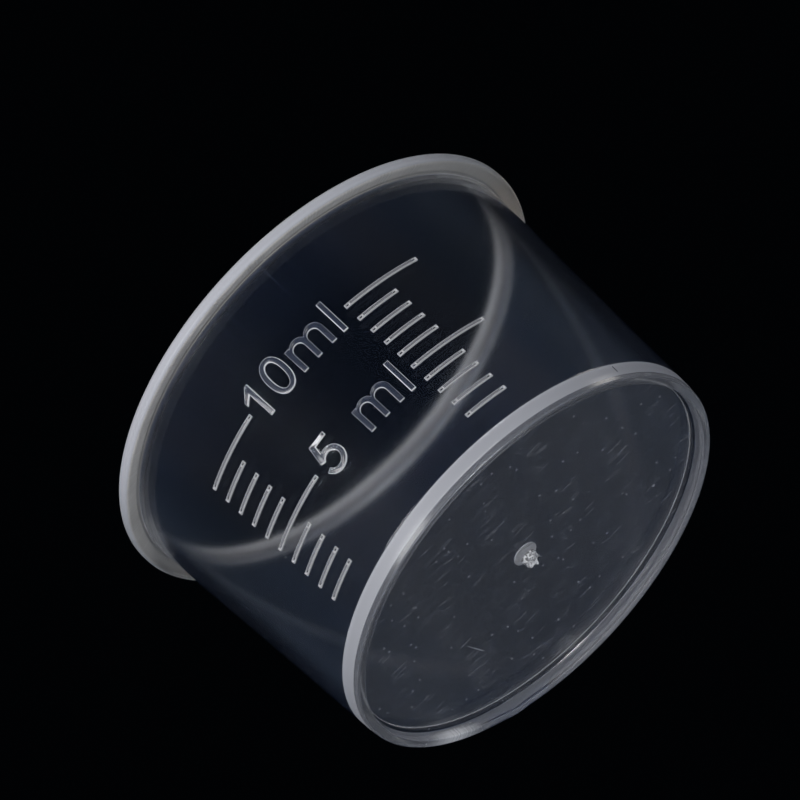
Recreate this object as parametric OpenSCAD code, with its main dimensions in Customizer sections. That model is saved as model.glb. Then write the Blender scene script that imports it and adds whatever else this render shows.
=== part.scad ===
// Measuring cup of 10 ml, moulded in one piece from clear plastic: a tapered wall
// with a flat lip, a floor set above a thin foot ring, and a raised scale on the front.
// The foot's bottom plane is z = 0, the cup's axis is Z, and the scale faces -Y.

/* [Cup] */
// Height from the bottom of the foot to the top of the lip
cup_height = 22.7; // [21:0.1:30]
// Outer radius of the wall at the bottom of the foot
base_radius = 15.75; // [15:0.05:20]
// Lean of the wall away from upright, in degrees
wall_draft = 3.1; // [1:0.1:5]
// Thickness of the wall
wall = 0.85; // [0.6:0.05:1.5]
// Thickness of the floor
floor_thickness = 0.8; // [0.6:0.05:2]
// Radius of the corner between the floor and the wall, inside the cup
inside_corner = 0.5; // [0.2:0.05:2]

/* [Foot] */
// Height of the floor's underside above the bottom of the foot
foot_recess = 0.9; // [0.6:0.05:2]
// Thickness of the foot ring at its bottom
foot_ring = 0.72; // [0.54:0.02:1.5]
// Radius on the outer edge of the foot
foot_edge = 0.2; // [0.1:0.05:0.4]
// Radius where the foot ring meets the floor's underside
foot_fillet = 0.2; // [0.1:0.05:0.4]

/* [Lip] */
// How far the lip stands out from the wall
lip_overhang = 1.14; // [0.8:0.02:2.5]
// Thickness of the lip where it leaves the wall
lip_thickness = 0.67; // [0.5:0.01:1.5]
// How much lower the lip's outer edge hangs than its root
lip_droop = 0.36; // [0.1:0.02:0.6]
// Radius on the outer edges of the lip, kept small enough for the lip's outer face
lip_edge = 0.3; // [0.1:0.05:0.45]
// Radius on the mouth's inner edge
mouth_edge = 0.35; // [0.1:0.05:0.5]

/* [Scale] */
// Number of lines in each column, half of them up to 5 ml
line_count = 10; // [6:2:16]
// Height of each raised line
line_height = 0.3; // [0.2:0.02:0.5]
// Length of a short line, measured around the wall
short_line = 3.36; // [2:0.02:4]
// Length of a long line, measured around the wall
long_line = 6.18; // [4.5:0.02:6.3]
// Distance around the wall from the middle of the scale to the left column
column_left = 9.62; // [9.5:0.02:10.5]
// Distance around the wall from the left column to the right column
column_pitch = 15.77; // [15.6:0.02:17]
// How far the lines and the lettering stand out from the wall
relief = 0.15; // [0.1:0.01:0.4]

/* [Lettering] */
// Height of the digits and of the letter l
letter_height = 2.85; // [2:0.05:3]
// Height of the letter m
small_height = 2.2; // [1.6:0.02:2.4]
// Width of a stroke
stroke = 0.4; // [0.3:0.01:0.5]
// How far the lettering's foot lies below its line
letter_drop = 1.3; // [0.6:0.05:1.8]
// Distance around the wall from the middle of the scale to the left of 10ml
ten_left = 3.1; // [2.6:0.05:3.15]
// Distance around the wall from the middle of the scale to the left of 5 ml
five_left = 2.64; // [2.3:0.02:3.1]
// Gap between the digits 1 and 0
digit_gap = 0.9; // [0.4:0.05:1]
// Gap between the digit 0 and the m
unit_gap = 0.42; // [0.3:0.02:0.7]
// Gap between the digit 5 and the m
word_gap = 2.04; // [1.5:0.02:2.4]
// Gap between the letters m and l
letter_gap = 0.64; // [0.3:0.02:0.8]

/* [Gate mark] */
// Radius of the broken gate stub under the floor
gate_radius = 0.58; // [0.3:0.02:1]
// Height of the broken gate stub
gate_height = 0.45; // [0.2:0.05:0.55]
// Radius of the low pad on the inside of the floor, over the gate
pad_radius = 0.96; // [0.6:0.02:2]
// Height of the low pad
pad_height = 0.15; // [0.1:0.01:0.4]

/* [Hidden] */
$fn = 96;

full_volume = 10; // millilitres up to the top line, as its lettering says
inner_floor = foot_recess + floor_thickness;
lean = tan(wall_draft);
radial_wall = wall / cos(wall_draft);
ring_inner = base_radius - foot_ring;
ring_edge = 0.1;
lip_radius = outer_radius(cup_height) + lip_overhang;
lip_root = cup_height - lip_thickness;
lip_fillet = 0.15;
lip_round = min(lip_edge, 0.36 * (lip_thickness + lip_droop));
half_line = line_count / 2;
line_taper = 0.06; // how much narrower a raised line is at its top, on each side
sink = 0.3; // how deep the relief and the gate mark reach into the wall and the floor
round_steps = 6; // flats in each rounding of the cup's section

// Radii of the wall's outer and inner surfaces at the height z
function outer_radius(z) = base_radius + z * lean;
function inner_radius(z) = outer_radius(z) - radial_wall;

// Height at which the cup holds the given millilitres, from the volume of a cone's frustum
function fill_height(ml) =
    let (foot = inner_radius(inner_floor))
    inner_floor + (pow(foot ^ 3 + 3000 * lean * ml / PI, 1 / 3) - foot) / lean;

// The full and the half volume have their true heights, and the other lines are evenly spaced
top_line = fill_height(full_volume);
line_step = (top_line - fill_height(full_volume / 2)) / half_line;
function line_z(i) = top_line - i * line_step;

// Angle that a length around the wall spans at the height z
function turn(length, z) = length / outer_radius(z) * 180 / PI;

function unit(v) = v / norm(v);

// The arc of radius r that rounds the corner p between the points a and b
function round_corner(a, p, b, r) =
    let (
        to_a = unit(a - p),
        to_b = unit(b - p),
        half = acos(to_a * to_b) / 2,
        centre = p + unit(to_a + to_b) * r / sin(half),
        from = p + to_a * r / tan(half) - centre,
        to = p + to_b * r / tan(half) - centre,
        start = atan2(from.y, from.x),
        change = atan2(to.y, to.x) - start,
        sweep = change > 180 ? change - 360 : change < -180 ? change + 360 : change
    )
    [
        for (i = [0:round_steps])
            let (a = start + sweep * i / round_steps)
            centre + r * [cos(a), sin(a)]
    ];

// The outline with its corners rounded, from a list of corners that each give their radius
function rounded(corners) = [
    for (i = [0:len(corners) - 1])
        let (p = corners[i][0], r = corners[i][1])
        for (q = r == 0 ? [p] : round_corner(corners[i - 1][0], p, corners[i + 1][0], r)) q
];

// The cup's section, from the middle of the floor's underside round to the floor inside
section = rounded([
    [[0, foot_recess], 0],
    [[ring_inner, foot_recess], foot_fillet],
    [[ring_inner, 0], ring_edge],
    [[base_radius, 0], foot_edge],
    [[outer_radius(lip_root), lip_root], lip_fillet],
    [[lip_radius, lip_root - lip_droop], lip_round],
    [[lip_radius, cup_height], lip_round],
    [[inner_radius(cup_height), cup_height], mouth_edge],
    [[inner_radius(inner_floor), inner_floor], inside_corner],
    [[0, inner_floor], 0]
]);

module shell() {
    rotate_extrude() polygon(section);
}

// A raised line at the height z, from the angle start, with the given length around the wall
module scale_line(z, start, length) {
    low = z - line_height / 2;
    high = z + line_height / 2;
    rotate([0, 0, start])
        rotate_extrude(angle = turn(length, z))
            polygon([
                [outer_radius(low) - sink, low],
                [outer_radius(low), low],
                [outer_radius(low) + relief, low + line_taper],
                [outer_radius(high) + relief, high - line_taper],
                [outer_radius(high), high],
                [outer_radius(high) - sink, high]
            ]);
}

// Two columns of lines, the right one a copy of the left
module scale_lines() {
    for (i = [0:line_count - 1], side = [0, 1]) {
        z = line_z(i);
        start = -90 + turn(side * column_pitch - column_left, z);
        scale_line(z, start, i % half_line == 0 ? long_line : short_line);
    }
}

// Glyphs are flat shapes with their foot at y = 0, and their widths follow their heights
one_width = 0.37 * letter_height;
zero_width = 0.66 * letter_height;
five_width = 0.645 * letter_height;
bowl_radius = 0.35 * letter_height;
arch_inner = 0.212 * small_height;
arch_radius = arch_inner + stroke;
m_width = 3 * stroke + 4 * arch_inner;
overshoot = 0.03 * letter_height; // how far a round digit passes the height of a straight one

module digit_one() {
    stem = one_width - stroke;
    polygon([
        [stem, 0],
        [one_width, 0],
        [one_width, letter_height],
        [stem + 0.3 * stroke, letter_height],
        [0, 0.75 * letter_height],
        [0, 0.63 * letter_height],
        [stem, 0.78 * letter_height]
    ]);
}

// An upright oval that is fuller than an ellipse
module oval(width, height) {
    fullness = 0.86;
    polygon([
        for (a = [0:10:350]) [
            sign(cos(a)) * width / 2 * pow(abs(cos(a)), fullness),
            sign(sin(a)) * height / 2 * pow(abs(sin(a)), fullness)
        ]
    ]);
}

module digit_zero() {
    height = letter_height + 2 * overshoot;
    translate([zero_width / 2, letter_height / 2]) difference() {
        oval(zero_width, height);
        oval(zero_width - 2.1 * stroke, height - 1.85 * stroke);
    }
}

module digit_five() {
    bar = letter_height - 0.75 * stroke;
    bar_end = 0.92 * five_width;
    translate([0.85 * bowl_radius, bowl_radius]) difference() {
        circle(bowl_radius);
        circle(bowl_radius - stroke);
        polygon([[0, 0], letter_height * [cos(145), sin(145)], letter_height * [cos(199), sin(199)]]);
    }
    polygon([
        [-0.01, 0.51] * letter_height,
        [0.11, 0.46] * letter_height,
        [0.15, 0.51] * letter_height,
        [0.22 * letter_height, bar],
        [bar_end, bar],
        [bar_end, letter_height],
        [0.09 * letter_height, letter_height + 0.12 * stroke]
    ]);
}

module letter_m() {
    pitch = stroke + 2 * arch_inner;
    spring = small_height - arch_radius; // height at which the arches leave the stems
    shoulder = 0.3 * stroke; // shift of an arch's outer curve, which thins its left side
    square([stroke, small_height - 0.45 * stroke]);
    for (i = [0:1]) translate([i * pitch, 0]) {
        translate([pitch, 0]) square([stroke, spring + shoulder]);
        translate([stroke + arch_inner, spring]) difference() {
            translate([shoulder, shoulder]) circle(arch_radius - shoulder);
            translate([0, 0.4 * shoulder]) circle(arch_inner);
            translate([-arch_radius, -2 * arch_radius]) square(2 * arch_radius);
        }
    }
}

module letter_l() {
    square([stroke, letter_height]);
}

// Stands a flat glyph of the given width against the wall, from the distance left
module on_wall(left, z, width) {
    rotate([0, 0, turn(left + width / 2, z)])
        translate([-width / 2, 0, z])
            rotate([90, 0, 0])
                linear_extrude(height = lip_radius)
                    children();
}

module millilitres(left, z) {
    on_wall(left, z, m_width) letter_m();
    on_wall(left + m_width + letter_gap, z, stroke) letter_l();
}

// Cuts the glyphs of one line to a conical skin, which gives them the wall's curve
module row_at(z) {
    low = z - stroke;
    high = z + letter_height + stroke;
    intersection() {
        rotate_extrude() polygon([
            [outer_radius(low) - sink, low],
            [outer_radius(low) + relief, low],
            [outer_radius(high) + relief, high],
            [outer_radius(high) - sink, high]
        ]);
        children();
    }
}

module lettering() {
    top = line_z(0) - letter_drop;
    zero_left = one_width + digit_gap - ten_left;
    row_at(top) {
        on_wall(-ten_left, top, one_width) digit_one();
        on_wall(zero_left, top, zero_width) digit_zero();
        millilitres(zero_left + zero_width + unit_gap, top);
    }
    middle = line_z(half_line) - letter_drop;
    row_at(middle) {
        on_wall(-five_left, middle, five_width) digit_five();
        millilitres(five_width + word_gap - five_left, middle);
    }
}

// The broken stub under the middle of the floor, with its slanted break, and the low pad
// over it inside the cup
module gate_mark() {
    stub_end = foot_recess - gate_height;
    difference() {
        translate([0, 0, stub_end])
            cylinder(h = gate_height + sink, r1 = 0.75 * gate_radius, r2 = gate_radius, $fn = 24);
        translate([0.25 * gate_radius, 0, stub_end]) rotate([0, 24, 20])
            translate([0, -gate_radius, -gate_height])
                cube([2 * gate_radius, 2 * gate_radius, gate_height]);
    }
    translate([0, 0, inner_floor - sink])
        cylinder(h = sink + pad_height, r = pad_radius);
}

module measuring_cup() {
    color("lightsteelblue") {
        shell();
        scale_lines();
        lettering();
        gate_mark();
    }
}

measuring_cup();
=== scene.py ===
import math
import random

import bmesh
import bpy
from mathutils import Matrix, Vector


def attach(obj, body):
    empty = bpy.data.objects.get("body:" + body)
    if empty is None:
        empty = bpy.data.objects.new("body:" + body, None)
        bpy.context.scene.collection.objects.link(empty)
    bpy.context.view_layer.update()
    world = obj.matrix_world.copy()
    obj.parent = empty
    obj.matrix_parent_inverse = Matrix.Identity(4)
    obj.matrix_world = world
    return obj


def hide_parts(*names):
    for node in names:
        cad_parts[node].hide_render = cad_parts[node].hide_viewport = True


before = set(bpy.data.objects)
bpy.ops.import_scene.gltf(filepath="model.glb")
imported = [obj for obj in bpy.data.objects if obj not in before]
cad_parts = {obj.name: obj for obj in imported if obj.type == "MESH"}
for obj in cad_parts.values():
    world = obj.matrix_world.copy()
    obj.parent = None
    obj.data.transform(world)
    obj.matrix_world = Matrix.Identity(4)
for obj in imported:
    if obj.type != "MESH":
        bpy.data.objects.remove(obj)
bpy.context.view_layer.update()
millimetre = 0.001
turnWhole = 2 * math.pi


# A socket that takes + - * / and adds the Math nodes for them
class Shade:
    def __init__(self, tree, socket=None):
        self.tree = tree
        self.socket = socket

    def add(self, kind, settings, sockets, output=0):
        node = self.tree.nodes.new(kind)
        for name, value in settings.items():
            setattr(node, name, value)
        for name, value in sockets.items():
            target = node.inputs[name]
            if isinstance(value, Shade):
                self.tree.links.new(value.socket, target)
            else:
                target.default_value = value
        if len(node.outputs) == 0:
            return None
        return Shade(self.tree, node.outputs[output])

    def also(self, output):
        # another output of the node that this socket belongs to
        return Shade(self.tree, self.socket.node.outputs[output])

    def maths(self, operation, *terms):
        return self.add("ShaderNodeMath", {"operation": operation}, dict(enumerate(terms)))

    def __add__(self, other):
        return self.maths("ADD", self, other)

    def __radd__(self, other):
        return self.maths("ADD", other, self)

    def __sub__(self, other):
        return self.maths("SUBTRACT", self, other)

    def __rsub__(self, other):
        return self.maths("SUBTRACT", other, self)

    def __mul__(self, other):
        return self.maths("MULTIPLY", self, other)

    def __rmul__(self, other):
        return self.maths("MULTIPLY", other, self)

    def __truediv__(self, other):
        return self.maths("DIVIDE", self, other)

    def highest(self, other):
        return self.maths("MAXIMUM", self, other)

    def ramp(self, start, end):
        # 0 at start and before it, 1 at end and after it
        sockets = {"Value": self, "From Min": start, "From Max": end}
        return self.add("ShaderNodeMapRange", {"interpolation_type": "SMOOTHSTEP"}, sockets)

    def band(self, low, high, soft):
        # 1 between low and high, 0 outside them
        return self.ramp(low - soft, low + soft) * (1.0 - self.ramp(high - soft, high + soft))

    def blend(self, low, high):
        # a colour: low where this mask is 0, high where it is 1
        return self.add("ShaderNodeMix", {"data_type": "RGBA"}, {0: self, 6: low, 7: high}, 2)

    def noise(self, sockets, settings=None):
        return self.add("ShaderNodeTexNoise", settings or {}, sockets)

    def cells(self, place, scale):
        sockets = {"Vector": place, "Scale": scale}
        return self.add("ShaderNodeTexVoronoi", {"voronoi_dimensions": "2D"}, sockets)

    def chance(self):
        # a random value for each cell of a Voronoi texture
        return self.add("ShaderNodeSeparateColor", {}, {"Color": self.also("Color")})


def freshMaterial(name):
    material = bpy.data.materials.new(name)
    material.use_nodes = True
    material.node_tree.nodes.clear()
    return material, Shade(material.node_tree)


# The cup's body, in millimetres and degrees
cupShape = {
    "height": 22.7,
    "baseRadius": 15.75,
    "draft": 3.1,
    "wall": 0.85,
    "floorUnder": 0.9,
    "floorThickness": 0.8,
    "ringWidth": 0.72,
    "footRounding": 0.15,
    "footTaperHeight": 0.72,
    "footTaper": 0.05,
    "lipRadius": 18.113,
    "lipRoot": 22.03,
    "lipEdgeLow": 21.67,
    "lipRounding": 0.3,
    "pitch": 1.2,
    "turns": 256,
    # small bulge of the foot: where, half width, height, how far out
    "bulge": (131, 5.0, 1.3, 0.14),
}


def outerRadius(z):
    return cupShape["baseRadius"] + z * math.tan(math.radians(cupShape["draft"]))


def innerRadius(z):
    return outerRadius(z) - cupShape["wall"] / math.cos(math.radians(cupShape["draft"]))


def roundedLine(corners, pitch):
    # corners are (r, z, rounding); a straight run gets points near its ends and one every pitch
    groups = []
    last = len(corners) - 1
    for i, (r, z, rounding) in enumerate(corners):
        here = Vector((r, z))
        if i in (0, last) or rounding == 0:
            groups.append([here])
            continue
        back = (Vector(corners[i - 1][:2]) - here).normalized()
        on = (Vector(corners[i + 1][:2]) - here).normalized()
        half = back.angle(on) / 2
        middle = here + (back + on).normalized() * rounding / math.sin(half)
        start = here + back * rounding / math.tan(half) - middle
        turn = math.pi - 2 * half
        way = 1 if start.cross(back) < 0 else -1
        steps = max(3, round(math.degrees(turn) / 12))
        turns = [Matrix.Rotation(way * turn * k / steps, 2) for k in range(steps + 1)]
        groups.append([middle + spin @ start for spin in turns])
    shortest = 0.3
    nearEnd = 0.05
    line = list(groups[0])
    for before, after in zip(groups, groups[1:]):
        a = before[-1]
        b = after[0]
        length = (b - a).length
        if length > shortest:
            run = length - 2 * nearEnd
            count = int(run / pitch)
            places = [nearEnd + run * k / (count + 1) for k in range(count + 2)]
            line += [a.lerp(b, place / length) for place in places]
        line += after
    return line


def makeObject(bm, name):
    mesh = bpy.data.meshes.new(name)
    bm.to_mesh(mesh)
    bm.free()
    thing = bpy.data.objects.new(name, mesh)
    bpy.context.scene.collection.objects.link(thing)
    return thing


def mergeInto(total, bm):
    mesh = bpy.data.meshes.new("part")
    bm.to_mesh(mesh)
    bm.free()
    total.from_mesh(mesh)
    bpy.data.meshes.remove(mesh)


def buildShell(shape):
    ring = shape["baseRadius"] - shape["ringWidth"]
    under = shape["floorUnder"]
    inside = under + shape["floorThickness"]
    taperTop = shape["footTaperHeight"]
    section = [
        (0, under, 0),
        (ring, under, 0.2),
        (ring, 0, 0.12),
        (shape["baseRadius"] - shape["footTaper"], 0, shape["footRounding"]),
        (outerRadius(taperTop), taperTop, 3.0),
        (outerRadius(shape["lipRoot"]), shape["lipRoot"], 0.15),
        (shape["lipRadius"], shape["lipEdgeLow"], shape["lipRounding"]),
        (shape["lipRadius"], shape["height"], shape["lipRounding"]),
        (innerRadius(shape["height"]), shape["height"], 0.35),
        (innerRadius(inside), inside, 0.2),
        (0, inside, 0),
    ]
    bm = bmesh.new()
    line = [bm.verts.new((p.x, 0, p.y)) for p in roundedLine(section, shape["pitch"])]
    edges = [bm.edges.new(pair) for pair in zip(line, line[1:])]
    bmesh.ops.spin(
        bm,
        geom=line + edges,
        cent=(0, 0, 0),
        axis=(0, 0, 1),
        angle=turnWhole,
        steps=shape["turns"],
        use_merge=True,
    )
    bmesh.ops.remove_doubles(bm, verts=bm.verts, dist=0.0001)
    where, width, top, out = shape["bulge"]
    for v in bm.verts:
        off = abs(math.degrees(math.atan2(v.co.y, v.co.x)) - where) / width
        if off < 1 and v.co.z < top and v.co.xy.length > ring:
            v.co.xy *= 1 + out * (1 - off) * (1 - v.co.z / top) / shape["baseRadius"]
    bmesh.ops.recalc_face_normals(bm, faces=bm.faces)
    return makeObject(bm, "cup_shell")


# Raised scale and lettering: flat shapes with rounded tops, bent round the wall
scaleShape = {
    "relief": 0.15,
    "sunk": 0.25,
    "lineHeight": 0.3,
    "lineRounding": 0.06,
    "lineSteps": 0.4,
    "shortLine": 3.36,
    "longLine": 6.18,
    "lineCount": 10,
    "longEvery": 5,
    "topLine": 15.196,
    "lineStep": 1.3175,
    "columnLeft": 9.62,
    "columnPitch": 15.77,
    "pitMargin": 0.02,
    "pitDepth": 0.144,
    "letterHeight": 2.85,
    "smallHeight": 2.2,
    "stroke": 0.4,
    "letterRounding": 0.055,
    "letterDrop": 1.3,
    # where each word starts, and the gap after each of its letters
    "tenLeft": 3.1,
    "tenGaps": (0.9, 0.42, 0.64, 0),
    "fiveLeft": 2.64,
    "fiveGaps": (2.04, 0.64, 0),
}


def arc(middle, radius, start, end, steps):
    angles = [math.radians(start + (end - start) * k / steps) for k in range(steps + 1)]
    return [(middle[0] + radius * math.cos(a), middle[1] + radius * math.sin(a)) for a in angles]


def oval(middle, width, height, fullness=0.86):
    points = []
    for k in range(40):
        a = math.radians(k * 9)
        across = math.copysign(abs(math.cos(a)) ** fullness, math.cos(a)) * width / 2
        along = math.copysign(abs(math.sin(a)) ** fullness, math.sin(a)) * height / 2
        points.append((middle[0] + across, middle[1] + along))
    return points


# Each letter gives its outlines and its width, drawn as shares of its height and stroke
def digitOne(size):
    h = size["letterHeight"]
    s = size["stroke"]
    width = 0.37 * h
    stem = width - s
    outline = [(stem, 0), (width, 0), (width, h), (stem + 0.3 * s, h)]
    outline += [(0, 0.75 * h), (0, 0.63 * h), (stem, 0.78 * h)]
    return [outline], width


def digitZero(size):
    h = size["letterHeight"]
    s = size["stroke"]
    width = 0.66 * h
    height = 1.06 * h
    middle = (width / 2, h / 2)
    return [oval(middle, width, height), oval(middle, width - 2.1 * s, height - 1.85 * s)], width


def digitFive(size):
    h = size["letterHeight"]
    s = size["stroke"]
    width = 0.645 * h
    bowl = 0.35 * h
    middle = (0.85 * bowl, bowl)
    bar = h - 0.75 * s
    outline = [(-0.01 * h, 0.51 * h), (0.11 * h, 0.46 * h)]
    outline += arc(middle, bowl - s, 145, -161, 26)
    outline += arc(middle, bowl, -161, 109.5, 30)
    outline += [(0.22 * h, bar), (0.92 * width, bar), (0.92 * width, h), (0.09 * h, h + 0.12 * s)]
    return [outline], width


def letterM(size):
    h = size["smallHeight"]
    s = size["stroke"]
    inner = 0.212 * h
    pitch = s + 2 * inner
    shoulder = 0.3 * s
    spring = h - inner - s
    outer = inner + s - shoulder
    meet = math.degrees(math.acos(pitch / 2 / outer))
    first = (s + inner + shoulder, spring + shoulder)
    second = (first[0] + pitch, first[1])
    left = math.degrees(math.acos((s - first[0]) / outer))
    outline = [(0, 0), (s, 0)]
    outline += arc((s + inner, spring + 0.4 * shoulder), inner, 180, 0, 14)
    outline += [(pitch, 0), (pitch + s, 0)]
    outline += arc((pitch + s + inner, spring + 0.4 * shoulder), inner, 180, 0, 14)
    outline += [(2 * pitch, 0), (2 * pitch + s, 0)]
    outline += arc(second, outer, 0, 180 - meet, 14)
    outline += arc(first, outer, meet, left, 10)
    outline += [(s, h - 0.45 * s), (0, h - 0.45 * s)]
    return [outline], 2 * pitch + s


def letterL(size):
    s = size["stroke"]
    h = size["letterHeight"]
    return [[(0, 0), (s, 0), (s, h), (0, h)]], s


def bendRound(bm, middleX, bottomZ):
    # x runs round the wall from its front, y up it and z out of it
    for v in bm.verts:
        z = bottomZ + v.co.y
        radius = outerRadius(z) + v.co.z
        angle = (middleX + v.co.x) / outerRadius(bottomZ) - math.pi / 2
        v.co = Vector((radius * math.cos(angle), radius * math.sin(angle), z))


def liftShape(bm, size, rounding):
    # gives a flat shape its height, and rounds the edge of its top
    grown = bmesh.ops.extrude_face_region(bm, geom=bm.faces[:])["geom"]
    topVerts = [g for g in grown if isinstance(g, bmesh.types.BMVert)]
    bmesh.ops.translate(bm, verts=topVerts, vec=(0, 0, size["relief"] + size["sunk"]))
    bmesh.ops.recalc_face_normals(bm, faces=bm.faces)
    topSet = set(topVerts)
    rims = []
    for e in bm.edges:
        if all(v in topSet for v in e.verts) and len(e.link_faces) == 2:
            a, b = e.link_faces
            if abs(a.normal.z) < 0.5 or abs(b.normal.z) < 0.5:
                rims.append(e)
    bmesh.ops.bevel(
        bm,
        geom=rims,
        offset=rounding,
        offset_type="OFFSET",
        segments=2,
        profile=0.5,
        affect="EDGES",
        material=-1,
        clamp_overlap=True,
    )
    bmesh.ops.translate(bm, verts=bm.verts, vec=(0, 0, -size["sunk"]))


def addGlyph(total, size, glyph, left, bottomZ):
    outlines, width = glyph
    bm = bmesh.new()
    loops = []
    for outline in outlines:
        verts = [bm.verts.new((x, y, 0)) for x, y in outline]
        loops.append([bm.edges.new(pair) for pair in zip(verts, verts[1:] + verts[:1])])
        if len(outlines) == 1:
            bm.faces.new(verts)
    if len(outlines) == 2:
        bmesh.ops.bridge_loops(bm, edges=loops[0] + loops[1])
    bmesh.ops.recalc_face_normals(bm, faces=bm.faces)
    liftShape(bm, size, size["letterRounding"])
    bmesh.ops.translate(bm, verts=bm.verts, vec=(-width / 2, 0, 0))
    bendRound(bm, left + width / 2, bottomZ)
    mergeInto(total, bm)
    return width


def addWord(total, size, letters, gaps, left, bottomZ):
    at = left
    for letter, gap in zip(letters, gaps):
        at += addGlyph(total, size, letter(size), at, bottomZ) + gap


def addLine(total, size, index, column):
    length = size["longLine"] if index % size["longEvery"] == 0 else size["shortLine"]
    bm = bmesh.new()
    steps = round(length / size["lineSteps"])
    bmesh.ops.create_grid(bm, x_segments=steps, y_segments=1, size=0.5)
    bmesh.ops.scale(bm, verts=bm.verts, vec=(length, size["lineHeight"], 1))
    liftShape(bm, size, size["lineRounding"])
    # a moulded pit near each end
    tops = [f for f in bm.faces if f.normal.z > 0.99]
    tops.sort(key=lambda f: f.calc_center_median().x)
    for face in (tops[0], tops[-1]):
        bmesh.ops.inset_individual(bm, faces=[face], thickness=size["pitMargin"], depth=0)
        middle = Matrix.Translation(-face.calc_center_median())
        bmesh.ops.scale(bm, verts=face.verts, vec=(0.5, 1, 1), space=middle)
        bmesh.ops.translate(bm, verts=face.verts, vec=(0, 0, -size["pitDepth"]))
    z = size["topLine"] - index * size["lineStep"]
    left = column * size["columnPitch"] - size["columnLeft"]
    bendRound(bm, left + length / 2, z)
    mergeInto(total, bm)


def buildMarks(size):
    total = bmesh.new()
    for column in (0, 1):
        for index in range(size["lineCount"]):
            addLine(total, size, index, column)
    upper = size["topLine"] - size["letterDrop"]
    lower = upper - size["longEvery"] * size["lineStep"]
    ten = (digitOne, digitZero, letterM, letterL)
    five = (digitFive, letterM, letterL)
    addWord(total, size, ten, size["tenGaps"], -size["tenLeft"], upper)
    addWord(total, size, five, size["fiveGaps"], -size["fiveLeft"], lower)
    return makeObject(total, "cup_marks")


# Broken gate stub under the floor, and the low pad over it
gateShape = {
    "radius": 0.64,
    # depth under the floor, and how much narrower than the level above
    "levels": ((0.0, 1.0), (0.12, 0.94), (0.24, 0.93), (0.42, 0.9)),
    "rings": (0.14, 0.16),
    # teeth of the break: degrees and length
    "fangs": ((18, 0.24), (88, 0.2), (140, 0.12), (176, 0.1), (-38, 0.08)),
    "fangWidth": 16,
    "seed": 4,
    "padRadius": 0.96,
    "padHeight": 0.15,
    "padRounding": 0.06,
    "sunk": 0.25,
}


def roughenBreak(bm, shape, floorUnder):
    chance = random.Random(shape["seed"])
    depth = shape["levels"][-1][0]
    end = floorUnder - depth
    for v in bm.verts:
        if v.co.z > floorUnder - 0.05:
            continue
        share = (floorUnder - v.co.z) / depth
        angle = math.degrees(math.atan2(v.co.y, v.co.x))
        across = v.co.xy.length / shape["radius"]
        v.co.xy *= 1 + share * chance.uniform(-0.1, 0.1)
        v.co.z += share * chance.uniform(-0.07, 0.07)
        if v.co.z > end + 0.1:
            continue
        for place, length in shape["fangs"]:
            near = abs((angle - place + 180) % 360 - 180)
            if near < shape["fangWidth"] and across > 0.7:
                v.co.z -= length * (1 - near / 26)
                v.co.xy *= 1 + 0.25 * (1 - near / shape["fangWidth"])
        if across < 0.62:
            v.co.z += chance.uniform(0.02, 0.2)


def buildGate(shape):
    floorUnder = cupShape["floorUnder"]
    bm = bmesh.new()
    bmesh.ops.create_circle(bm, cap_ends=True, segments=26, radius=shape["radius"])
    bmesh.ops.translate(bm, verts=bm.verts, vec=(0, 0, floorUnder + shape["sunk"]))
    last = bm.faces[:]
    for drop, shrink in shape["levels"]:
        made = bmesh.ops.extrude_face_region(bm, geom=last)["geom"]
        for v in [g for g in made if isinstance(g, bmesh.types.BMVert)]:
            v.co.z = floorUnder - drop
            v.co.xy *= shrink
        if drop > 0:
            bmesh.ops.delete(bm, geom=last, context="FACES_ONLY")
        last = [g for g in made if isinstance(g, bmesh.types.BMFace)]
    for width in shape["rings"]:
        bmesh.ops.inset_region(bm, faces=last, thickness=width, depth=0)
    bmesh.ops.poke(bm, faces=last)
    bmesh.ops.remove_doubles(bm, verts=bm.verts, dist=0.0001)
    roughenBreak(bm, shape, floorUnder)
    bmesh.ops.recalc_face_normals(bm, faces=bm.faces)
    mergeInto(bm, buildPad(shape, floorUnder + cupShape["floorThickness"]))
    return makeObject(bm, "cup_gate")


def buildPad(shape, inside):
    pad = bmesh.new()
    bmesh.ops.create_cone(
        pad,
        cap_ends=True,
        segments=64,
        radius1=shape["padRadius"],
        radius2=shape["padRadius"],
        depth=shape["padHeight"] + shape["sunk"],
    )
    middle = inside + (shape["padHeight"] - shape["sunk"]) / 2
    bmesh.ops.translate(pad, verts=pad.verts, vec=(0, 0, middle))
    bmesh.ops.bevel(
        pad,
        geom=[e for e in pad.edges if all(v.co.z > inside for v in e.verts)],
        offset=shape["padRounding"],
        segments=2,
        profile=0.5,
        affect="EDGES",
        material=-1,
    )
    return pad


def fuse(shell, others):
    # one closed skin from the shell, the marks and the gate
    group = bpy.data.collections.new("fusing")
    for thing in others:
        group.objects.link(thing)
    union = shell.modifiers.new("fuse", "BOOLEAN")
    union.operation = "UNION"
    union.operand_type = "COLLECTION"
    union.collection = group
    union.solver = "EXACT"
    union.use_self = True
    view = bpy.context.evaluated_depsgraph_get()
    mesh = bpy.data.meshes.new_from_object(shell.evaluated_get(view))
    shell.modifiers.clear()
    shell.data = mesh
    for thing in others:
        bpy.data.objects.remove(thing)
    bpy.data.collections.remove(group)


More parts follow.
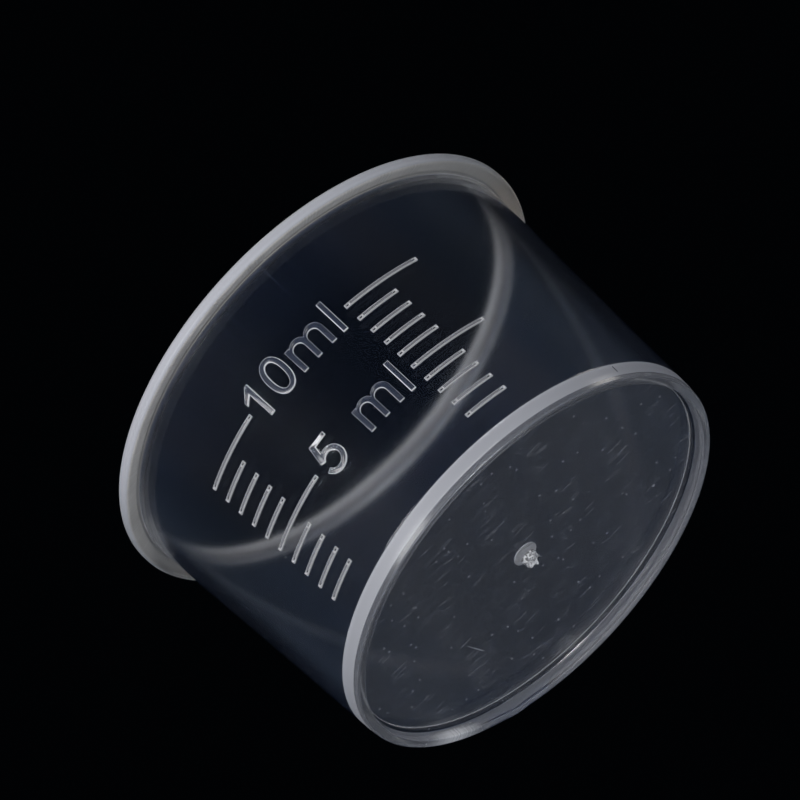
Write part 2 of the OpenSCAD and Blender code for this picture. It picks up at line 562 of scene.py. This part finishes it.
# Clear plastic with a little haze, milky where it is thick, with painted light and shade on the
# lip and foot ring and a painted highlight on the scale's edges
clearPlastic = {
    "tint": (0.95, 0.97, 1.0, 1.0),
    "milk": (0.54, 0.55, 0.6, 1.0),
    "warmMilk": (0.72, 0.7, 0.67, 1.0),
    "backLipShade": (0.8, 0.69, 0.57, 1.0),
    "white": (0.95, 0.95, 0.97, 1.0),
    "hazeColour": (0.32, 0.48, 0.95, 1.0),
    "refraction": 1.49,
    "gloss": 0.08,
    "milkGloss": 0.55,
    "haze": 0.0095,
    "footMilk": 0.7,
    "lipMilk": 0.85,
    "letterEdgeHighlight": 0.85,
    "letterTop": 0.06,
    "lineEdgeHighlight": 0.55,
    "lineTop": 0.36,
    # marks on the foot, from and to, in degrees round the cup: a nick, a stretch of the ring made
    # less milky as painted shade, and a painted highlight patch on the ring
    "nick": (-27.3, -27.0),
    "ringShade": (118, 142),
    "ringHighlight": (147, 160),
    # spots under the floor: x, y, turn, half length, half width
    "spots": (
        (8.43, 7.76, 0, 0.13, 0.13),
        (0.86, 3.53, 0, 0.07, 0.07),
        (2.96, 11.07, 0, 0.07, 0.07),
        (4.12, -4.42, 40, 0.14, 0.05),
        (1.48, -8.96, 0, 0.06, 0.06),
        (-7.43, 2.53, 85.7, 1.4, 0.04),
    ),
    # layers of fine scratches: turn, cell length, cell width, offset, strength
    "scratches": (
        (8, 4.2, 0.19, 0.31, 0.42),
        (36, 3.6, 0.19, 0.77, 0.36),
        (21, 5.0, 0.19, 1.24, 0.38),
        (80, 3.0, 0.2, 2.19, 0.24),
    ),
}


def scratchLayer(shade, place, turn, length, width, offset):
    sockets = {
        "Vector": place,
        "Location": (offset, offset * 0.7, 0.0),
        "Rotation": (0.0, 0.0, math.radians(turn)),
        "Scale": (length, width, 1.0),
    }
    stretched = shade.add("ShaderNodeMapping", {"vector_type": "TEXTURE"}, sockets)
    strokes = shade.cells(stretched, 1000.0)
    return strokes.ramp(0.27, 0.08) * strokes.chance().ramp(0.6, 1.0)


def spotMark(x, y, left, back, turn, length, width):
    cosine = math.cos(math.radians(turn))
    sine = math.sin(math.radians(turn))
    along = ((x - left) * cosine + (y - back) * sine) / length
    aside = ((y - back) * cosine - (x - left) * sine) / width
    return (along * along + aside * aside).ramp(1.1, 0.5)


def plasticMaterial(look):
    # every mask is in the cup's own millimetres
    material, shade = freshMaterial("clear_plastic")
    place = shade.add("ShaderNodeTexCoord", {}, {}, "Object")
    parts = shade.add("ShaderNodeSeparateXYZ", {}, {"Vector": place})
    x = parts / millimetre
    y = parts.also(1) / millimetre
    z = parts.also(2) / millimetre
    radius = shade.maths("SQRT", x * x + y * y)
    angle = shade.maths("ARCTAN2", y, x)
    proud = radius - (z * math.tan(math.radians(cupShape["draft"])) + cupShape["baseRadius"])

    def between(limits, soft):
        low, high = limits
        return angle.band(math.radians(low), math.radians(high), soft)

    # fine and broad unevenness round the cup
    roundCup = {"noise_dimensions": "1D"}
    scuffs = shade.noise({"W": angle, "Scale": 110.0, "Detail": 3.0, "Roughness": 0.6}, roundCup)
    waves = shade.noise({"W": angle, "Scale": 7.0, "Detail": 2.0}, roundCup)

    # milky band round the floor's edge, with its nick, and the foot ring under it, milkier
    # towards the back as painted light, with a painted shade stretch and a painted highlight
    # patch
    nick = between(look["nick"], 0.0015) * z.band(0.75, 1.4, 0.03)
    foot = z.band(0.44, 1.5, 0.04) * radius.ramp(15.5, 15.6) * look["footMilk"] * (1.0 - nick)
    ring = radius.ramp(14.6, 14.95)
    ringShade = between(look["ringShade"], 0.06)
    # the ring is milkier towards the back as painted light, and less milky over one stretch as
    # painted shade
    edge = z.ramp(0.5, 0.35) * ring * (0.15 + y.ramp(-12.0, 4.0) * 0.13) * (1.0 - ringShade * 0.7)
    # a painted highlight patch on the ring, broken up by the scuff noise
    ringHighlight = between(look["ringHighlight"], 0.12) * z.ramp(0.9, 0.5)
    ringHighlightMilk = ringHighlight * ring * (0.45 + scuffs.ramp(0.3, 0.7) * 0.45)
    milky = foot + edge + ringHighlightMilk

    # milky lip, scuffed beneath, milkier at the front and clearer towards the back as painted
    # light and shade
    beneath = proud.ramp(1.08, 1.0)
    scuffed = 1.0 - beneath * scuffs.ramp(0.4, 0.6) * waves.ramp(0.3, 0.65) * 0.7
    # painted light and shade: more milk at the front, less at the back
    frontLitShare = 0.36 + y.ramp(1.0, -15.0) * 0.64 - y.ramp(3.0, 16.0) * 0.19
    lip = z.ramp(21.4, 21.6) * proud.ramp(0.07, 0.11) * scuffed * frontLitShare * look["lipMilk"]
    milky = milky.highest(lip)

    # the top of the wall, the fine seam under the lip, and light scuffs on the wall
    onWall = proud.ramp(-0.05, -0.02)
    fade = z.ramp(21.4, 22.1) * onWall * 0.16
    seam = z.band(21.84, 21.92, 0.02) * onWall * proud.ramp(0.05, 0.03) * 0.3
    wallScuffs = scuffs.ramp(0.62, 0.72) * (z.ramp(5.0, 2.0) + z.ramp(17.0, 21.5)) * 0.07
    milky = milky.highest(fade + seam + wallScuffs)

    # raised scale: frosted on top, the letters nearly clear on top, and milky white round its
    # edges as a painted highlight
    mark = z.band(2.0, 17.6, 0.1) * proud.ramp(0.012, 0.025)
    side = mark * proud.ramp(0.149, 0.139)
    letters = x.band(-3.27, 5.3, 0.05)
    top = look["lineTop"] + letters * (look["letterTop"] - look["lineTop"])
    edgeHighlight = look["lineEdgeHighlight"] + letters * (look["letterEdgeHighlight"] - look["lineEdgeHighlight"])
    milky = milky.highest(mark * top + side * (edgeHighlight - top))

    # frosted break of the gate, and its pad
    grain = shade.noise({"Vector": place, "Scale": 5000.0, "Detail": 2.0})
    stub = radius.ramp(0.95, 0.9) * z.ramp(0.895, 0.88) * (0.2 + grain.ramp(0.4, 0.6) * 0.8)
    pad = radius.ramp(0.99, 0.97) * z.ramp(1.72, 1.74) * 0.95
    milky = milky.highest(stub + pad)

    # scratches, specks and dust under the floor
    under = z.band(0.7, 1.0, 0.01) * radius.ramp(15.0, 14.8)
    scratches = 0.0
    for turn, length, width, offset, strength in look["scratches"]:
        layer = scratchLayer(shade, place, turn, length, width, offset)
        scratches = scratches + layer * strength
    for spot in look["spots"]:
        scratches = scratches + spotMark(x, y, *spot) * 0.9
    cloud = shade.noise({"Vector": place, "Scale": 400.0, "Detail": 6.0, "Roughness": 0.7})
    dots = shade.cells(place, 1000.0)
    specks = dots.ramp(0.09, 0.05) * dots.chance().ramp(0.86, 0.92)
    milky = milky.highest(under * (scratches * cloud.ramp(0.2, 0.55) + specks * 0.75))
    grit = shade.noise({"Vector": place, "Scale": 3000.0, "Detail": 3.0})
    dust = (cloud.ramp(0.35, 0.75) * 0.008 + grit.ramp(0.5, 0.75) * 0.02) * under

    # haze all over, thinner behind the scale
    haze = (1.0 - z.band(7.0, 17.0, 3.0) * 0.35) * look["haze"]
    factor = milky.highest(dust + haze)

    atLip = z.ramp(20.9, 21.3)
    tone = (atLip * beneath).blend(look["milk"], look["warmMilk"])
    # the back of the lip is tinted warm as painted shade
    tone = (atLip * y.ramp(-2.0, 6.0)).blend(tone, look["backLipShade"])
    # the scale's edges, the gate and pad, and the ring's painted highlight patch are white
    tone = side.highest(radius.ramp(1.5, 1.4) + ringHighlight).blend(tone, look["white"])
    colour = factor.ramp(0.02, 0.16).blend(look["hazeColour"], tone)

    # duller on the marks, at the lip and where the wall meets the floor
    corner = z.ramp(1.7, 1.4) * radius.ramp(14.4, 14.9)
    dull = 0.16 * mark + 0.2 * z.ramp(21.0, 21.8) + 0.13 * corner - 0.03 * under
    glass = shade.add(
        "ShaderNodeBsdfPrincipled",
        {},
        {
            "Base Color": look["tint"],
            "Roughness": look["gloss"] + dull,
            "IOR": look["refraction"],
            "Transmission Weight": 1.0,
        },
    )
    milk = shade.add(
        "ShaderNodeBsdfPrincipled",
        {},
        {"Base Color": colour, "Roughness": look["milkGloss"], "IOR": look["refraction"]},
    )
    mixed = shade.add("ShaderNodeMixShader", {}, {0: factor, 1: glass, 2: milk})
    shade.add("ShaderNodeOutputMaterial", {}, {"Surface": mixed})
    return material


cup = buildShell(cupShape)
print("shell built")
fuse(cup, [buildMarks(scaleShape), buildGate(gateShape)])
print("marks and gate fused to it")
cup.name = "measuring_cup_clear"
cup.data.name = "measuring_cup_clear"
cup.data.transform(Matrix.Scale(millimetre, 4))
cup.data.shade_smooth()
cup.data.set_sharp_from_angle(angle=math.radians(35))
cup.data.materials.clear()
cup.data.materials.append(plasticMaterial(clearPlastic))
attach(cup, "root")
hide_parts("measuring_cup")
print("cup finished")


# Pale floor and a low backdrop round it, in metres
studio = {
    "paint": (0.86, 0.86, 0.85, 1.0),
    "underCup": (0.24, 0.24, 0.24, 1.0),
    "roughness": 0.7,
    "glow": 0.26,
    "shadowFrom": 0.015,
    "shadowTo": 0.034,
    "reach": 1.6,
    "wallHeight": 0.16,
    "floorLevel": -0.00002,
    "segments": 96,
}


def paintMaterial(look):
    # glows less under the cup, which then stands in a soft shadow, and is see-through from behind
    material, shade = freshMaterial("studio_paint")
    place = shade.add("ShaderNodeTexCoord", {}, {}, "Object")
    away = shade.add("ShaderNodeVectorMath", {"operation": "LENGTH"}, {0: place}, "Value")
    glow = away.ramp(look["shadowFrom"], look["shadowTo"]).blend(look["underCup"], look["paint"])
    paint = shade.add(
        "ShaderNodeBsdfPrincipled",
        {},
        {
            "Base Color": look["paint"],
            "Roughness": look["roughness"],
            "Emission Color": glow,
            "Emission Strength": look["glow"],
        },
    )
    clear = shade.add("ShaderNodeBsdfTransparent", {}, {})
    behind = shade.add("ShaderNodeNewGeometry", {}, {}, "Backfacing")
    mixed = shade.add("ShaderNodeMixShader", {}, {0: behind, 1: paint, 2: clear})
    shade.add("ShaderNodeOutputMaterial", {}, {"Surface": mixed})
    return material


def buildFloor(size):
    bm = bmesh.new()
    bmesh.ops.create_circle(bm, cap_ends=True, segments=size["segments"], radius=size["reach"])
    return makeObject(bm, "floor")


def buildBackdrop(size):
    bm = bmesh.new()
    bmesh.ops.create_cone(
        bm,
        cap_ends=False,
        segments=size["segments"],
        radius1=size["reach"],
        radius2=size["reach"],
        depth=size["wallHeight"],
    )
    bmesh.ops.translate(bm, verts=bm.verts, vec=(0, 0, size["wallHeight"] / 2))
    bmesh.ops.reverse_faces(bm, faces=bm.faces)  # it is seen from inside
    return makeObject(bm, "backdrop")


paint = paintMaterial(studio)
for thing in (buildFloor(studio), buildBackdrop(studio)):
    thing.data.materials.append(paint)
    thing.data.transform(Matrix.Translation((0, 0, studio["floorLevel"])))
    thing.visible_shadow = False
    thing.visible_glossy = False
    thing.visible_diffuse = False
print("floor and backdrop finished")

# The photograph's view: the camera's axes, and the cup's foot as the camera sees it, in mm
photoView = {
    "right": (0.62433502, 0.44237404, -0.64382528),
    "down": (-0.773123, 0.23202869, -0.59029104),
    "ahead": (-0.11174349, 0.8662955, 0.48687319),
    "footSeen": (9.25819407, 11.11062165, 362.18105255),
    "lens": 241.9413,
    "sensor": 36.0,
}


def addCamera(view):
    right = Vector(view["right"])
    down = Vector(view["down"])
    ahead = Vector(view["ahead"])
    foot = Vector(view["footSeen"])
    eye = -(right * foot.x + down * foot.y + ahead * foot.z) * millimetre
    turn = Matrix((right, -down, -ahead)).transposed()
    lens = bpy.data.cameras.new("camera")
    lens.lens = view["lens"]
    lens.sensor_width = view["sensor"]
    lens.clip_start = 0.01
    lens.clip_end = 20.0
    camera = bpy.data.objects.new("camera", lens)
    camera.matrix_world = Matrix.Translation(eye) @ turn.to_4x4()
    bpy.context.scene.collection.objects.link(camera)
    return camera


bpy.context.scene.camera = addCamera(photoView)

# Softboxes: direction from the cup, distance, width and height in metres, watts, colour
softboxes = {
    "left_box": ((-0.40, -0.915, 0.09), 0.6, (0.25, 0.24), 2.0, (1.0, 1.0, 1.0)),
    "middle_box": ((0.36, -0.72, -0.5), 0.6, (0.08, 0.07), 0.7, (1.0, 1.0, 1.0)),
    "right_box": ((0.935, 0.2, 0.29), 0.6, (0.14, 0.05), 0.2, (1.0, 0.97, 0.93)),
    "high_box": ((0.08, 0.25, 1.0), 1.2, (0.12, 0.12), 0.8, (1.0, 0.98, 0.95)),
}
cupMiddle = Vector((0, 0, 0.011))

for name, (toward, distance, size, power, colour) in softboxes.items():
    lamp = bpy.data.lights.new(name, "AREA")
    lamp.shape = "RECTANGLE"
    lamp.size = size[0]
    lamp.size_y = size[1]
    lamp.energy = power
    lamp.color = colour
    holder = bpy.data.objects.new(name, lamp)
    direction = Vector(toward).normalized()
    holder.location = direction * distance + cupMiddle
    holder.rotation_euler = direction.to_track_quat("Z", "Y").to_euler()
    bpy.context.scene.collection.objects.link(holder)

# Room light by direction: dim, brighter straight above and in front below
room = {
    "cool": (0.5, 0.7, 1.0, 1.0),
    "pale": (0.92, 0.94, 1.0, 1.0),
    "below": 0.05,
    "frontBelow": 0.38,
    "frontMiddle": 0.1,
    "above": 0.4,
    "sides": 0.05,
    "least": 0.001,
}


def addRoomLight(look):
    world = bpy.data.worlds.new("studio")
    world.use_nodes = True
    world.node_tree.nodes.clear()
    sky = Shade(world.node_tree)
    direction = sky.add("ShaderNodeTexCoord", {}, {}, "Generated")
    across = sky.add("ShaderNodeSeparateXYZ", {}, {"Vector": direction})
    depth = across.also(1)
    height = across.also(2)
    front = depth.ramp(0.1, -0.4)
    below = height.ramp(0.2, 0.1)
    middle = height.ramp(0.47, 0.62) * front
    above = height.ramp(0.8, 0.95)
    sides = (across * across).ramp(0.25, 0.7)
    strength = below * (look["below"] + front * look["frontBelow"]) + look["least"]
    strength = strength + middle * look["frontMiddle"] + above * look["above"]
    strength = strength + sides * look["sides"]
    tint = (front + above).ramp(0.0, 1.0).blend(look["cool"], look["pale"])
    glow = sky.add("ShaderNodeBackground", {}, {"Color": tint, "Strength": strength})
    sky.add("ShaderNodeOutputWorld", {}, {"Surface": glow})
    return world


bpy.context.scene.world = addRoomLight(room)
bpy.context.scene.view_settings.view_transform = "Standard"
print("camera and lights finished")
